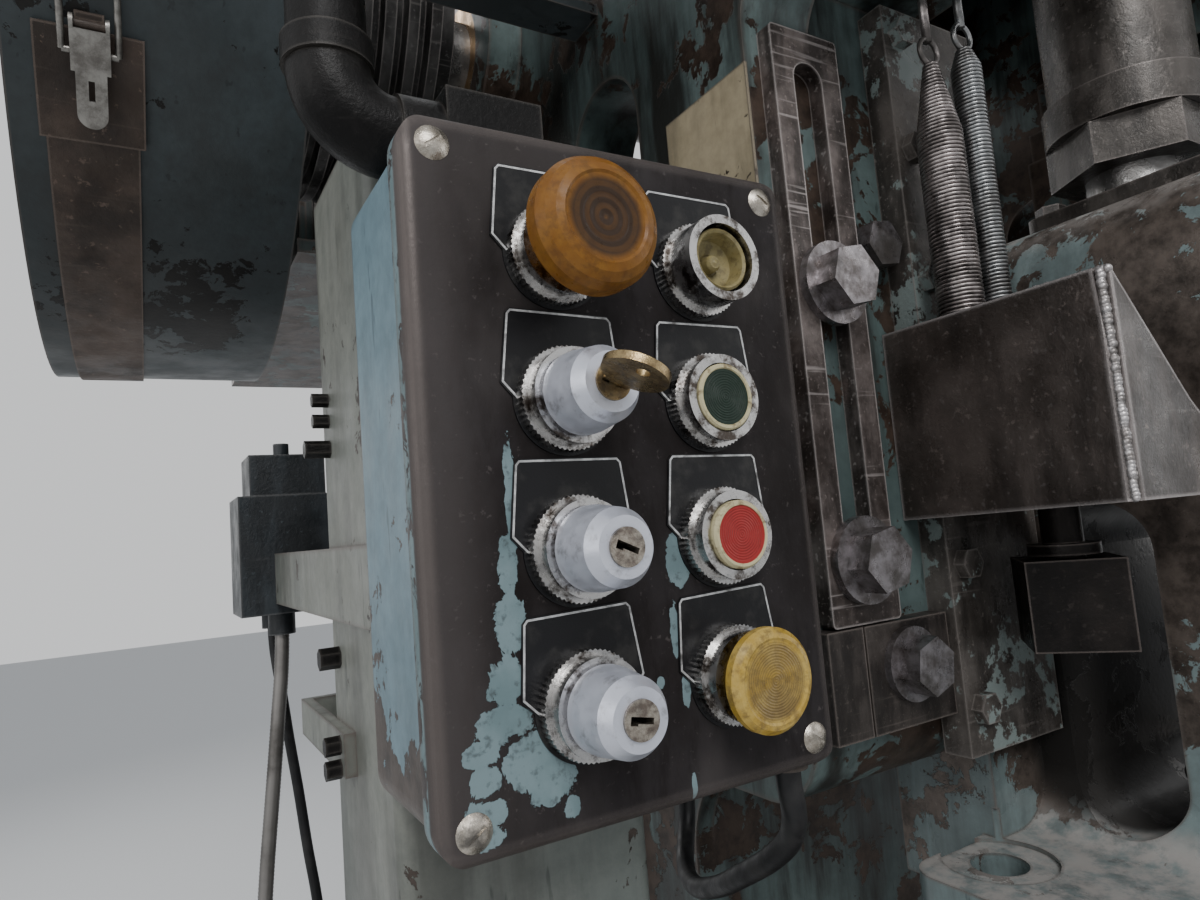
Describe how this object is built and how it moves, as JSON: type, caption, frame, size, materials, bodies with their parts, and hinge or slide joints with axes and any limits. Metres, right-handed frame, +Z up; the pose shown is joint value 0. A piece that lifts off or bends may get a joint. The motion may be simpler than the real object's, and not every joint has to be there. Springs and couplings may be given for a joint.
{
  "type": "mechanical stamping press",
  "caption": "Gap-frame stamping press with a crank-driven slide, guarded flywheel, bolster, and a post-mounted push-button and key-switch station beside a slotted stop bar.",
  "frame": {"origin": "centre of the anchor bolt pattern at floor level, under the centre of the slide", "axes": "+X across the press to its right as the operator sees it, +Y from the front to the back, +Z up"},
  "size_m": [1.258, 1.5507, 2.2634],
  "materials": {
    "frame_paint": "worn dark teal paint",
    "station_paint": "chipped grey-teal paint",
    "bare_steel": "oily dark bare steel",
    "bright_steel": "machined steel",
    "cast_iron": "oily cast iron",
    "bronze": "satin",
    "zinc": "zinc plated",
    "chrome": "polished",
    "key_metal": "satin",
    "brass": "worn",
    "black_plastic": "matt",
    "legend": "black with a silver border",
    "amber": "worn",
    "cream": "worn",
    "green": "worn, with a cream rim",
    "red": "worn, with a cream rim",
    "yellow": "stained",
    "black_steel": "very dark brown-black",
    "rubber": "matt",
    "spring_steel": "bright wire",
    "bare_plate": "plain cream",
    "flex_metal": "grey"
  },
  "bodies": {
    "frame": {"press_frame": "frame_paint", "bolster_plate": "bright_steel", "bolster_bolts": "zinc", "bronze_bushes": "bronze", "gib_left": "bare_steel", "gib_right": "bare_steel", "gib_screws": "bare_steel", "flywheel_guard": "frame_paint", "guard_band": "bare_steel", "motor": "frame_paint", "motor_bracket": "frame_paint", "v_belts": "rubber", "post": "station_paint", "post_bolts": "black_steel", "conduit_pipe": "black_steel", "control_box": "station_paint", "box_cover": "station_paint", "cover_screws": "zinc", "legend_plates": "legend", "operator_rings": "chrome", "contact_blocks": "black_plastic", "key_housings": "key_metal", "slotted_bar": "bare_steel", "clamp_plate": "bare_steel", "bar_bolts": "zinc", "stop_bracket": "bare_steel", "springs": "spring_steel", "side_plate": "bare_plate", "junction_box": "black_steel", "flex_conduit": "flex_metal", "switch_cable": "rubber", "box_cable": "rubber"},
    "crank": {"crankshaft": "bright_steel", "bull_gear": "cast_iron"},
    "rod": {"connecting_rod": "cast_iron", "rod_cap": "cast_iron", "rod_bolts": "bare_steel", "adjusting_screw": "bright_steel", "lock_nut": "bare_steel"},
    "ram": {"slide": "bare_steel", "ball_cap": "bare_steel", "shank_screw": "bare_steel"},
    "back_shaft": {"back_shaft": "bright_steel", "pinion": "bright_steel", "clutch_drum": "cast_iron"},
    "flywheel": {"flywheel": "cast_iron"},
    "pulley": {"motor_pulley": "cast_iron"},
    "latch_lever": {"latch_lever": "zinc"},
    "latch_bail": {"latch_bail": "zinc"},
    "amber_button": {"amber_button": "amber"},
    "cream_button": {"cream_button": "cream"},
    "green_button": {"green_button": "green"},
    "red_button": {"red_button": "red"},
    "yellow_button": {"yellow_button": "yellow"},
    "key_plug_top": {"key_plug_top": "key_metal", "key": "brass"},
    "key_plug_middle": {"key_plug_middle": "key_metal"},
    "key_plug_bottom": {"key_plug_bottom": "key_metal"},
    "stop_stud": {"stop_stud": "bare_steel", "stop_block": "bare_steel"}
  },
  "joints": [
    {"name": "crank_turn", "type": "hinge", "parent": "frame", "child": "crank", "pos_m": [0, 0, 1.88], "axis": [1, 0, 0], "range_deg": [0, 180]},
    {"name": "rod_swing", "type": "hinge", "parent": "crank", "child": "rod", "pos_m": [0, 0, 1.918], "axis": [1, 0, 0], "range_deg": [-180, 0]},
    {"name": "ram_slide", "type": "slide", "parent": "frame", "child": "ram", "axis": [0, 0, 1], "range_m": [-0.076, 0]},
    {"name": "back_shaft_turn", "type": "hinge", "parent": "frame", "child": "back_shaft", "pos_m": [0, 0.46067, 1.845], "axis": [1, 0, 0], "range_deg": [-744, 0]},
    {"name": "flywheel_spin", "type": "hinge", "parent": "frame", "child": "flywheel", "pos_m": [-0.67, 0.46067, 1.845], "axis": [1, 0, 0], "continuous": true},
    {"name": "pulley_spin", "type": "hinge", "parent": "frame", "child": "pulley", "pos_m": [-0.67, 1.02067, 1.845], "axis": [1, 0, 0], "continuous": true},
    {"name": "latch_open", "type": "hinge", "parent": "frame", "child": "latch_lever", "pos_m": [-0.71, 0.1773, 1.62361], "axis": [1, 0, 0], "range_deg": [-95, 0]},
    {"name": "bail_swing", "type": "hinge", "parent": "latch_lever", "child": "latch_bail", "pos_m": [-0.71, 0.18592, 1.61258], "axis": [1, 0, 0], "range_deg": [0, 95]},
    {"name": "amber_press", "type": "slide", "parent": "frame", "child": "amber_button", "axis": [0, 1, 0], "range_m": [0, 0.005], "stiffness_N_per_m": 600, "springref_m": -0.002},
    {"name": "cream_press", "type": "slide", "parent": "frame", "child": "cream_button", "axis": [0, 1, 0], "range_m": [0, 0.005], "stiffness_N_per_m": 600, "springref_m": -0.002},
    {"name": "green_press", "type": "slide", "parent": "frame", "child": "green_button", "axis": [0, 1, 0], "range_m": [0, 0.005], "stiffness_N_per_m": 600, "springref_m": -0.002},
    {"name": "red_press", "type": "slide", "parent": "frame", "child": "red_button", "axis": [0, 1, 0], "range_m": [0, 0.005], "stiffness_N_per_m": 600, "springref_m": -0.002},
    {"name": "yellow_press", "type": "slide", "parent": "frame", "child": "yellow_button", "axis": [0, 1, 0], "range_m": [0, 0.005], "stiffness_N_per_m": 600, "springref_m": -0.002},
    {"name": "key_turn_top", "type": "hinge", "parent": "frame", "child": "key_plug_top", "pos_m": [-0.547, -0.03, 1.38095], "axis": [0, 1, 0], "range_deg": [0, 60]},
    {"name": "key_turn_middle", "type": "hinge", "parent": "frame", "child": "key_plug_middle", "pos_m": [-0.547, -0.03, 1.32305], "axis": [0, 1, 0], "range_deg": [-60, 0]},
    {"name": "key_turn_bottom", "type": "hinge", "parent": "frame", "child": "key_plug_bottom", "pos_m": [-0.547, -0.03, 1.26515], "axis": [0, 1, 0], "range_deg": [-60, 30]},
    {"name": "stud_slide", "type": "slide", "parent": "frame", "child": "stop_stud", "axis": [0, 0, 1], "range_m": [-0.014, 0], "stiffness_N_per_m": 1500, "springref_m": 0.02, "deforming": ["springs"]}
  ],
  "couplings": [
    {"joint": "rod_swing", "follows": "crank_turn", "ratio": -1},
    {"joint": "ram_slide", "follows": "crank_turn", "m_per_rad": -0.024191},
    {"joint": "back_shaft_turn", "follows": "crank_turn", "ratio": -4.1333},
    {"joint": "pulley_spin", "follows": "flywheel_spin", "ratio": 3.875},
    {"joint": "bail_swing", "follows": "latch_open", "ratio": -1}
  ]
}
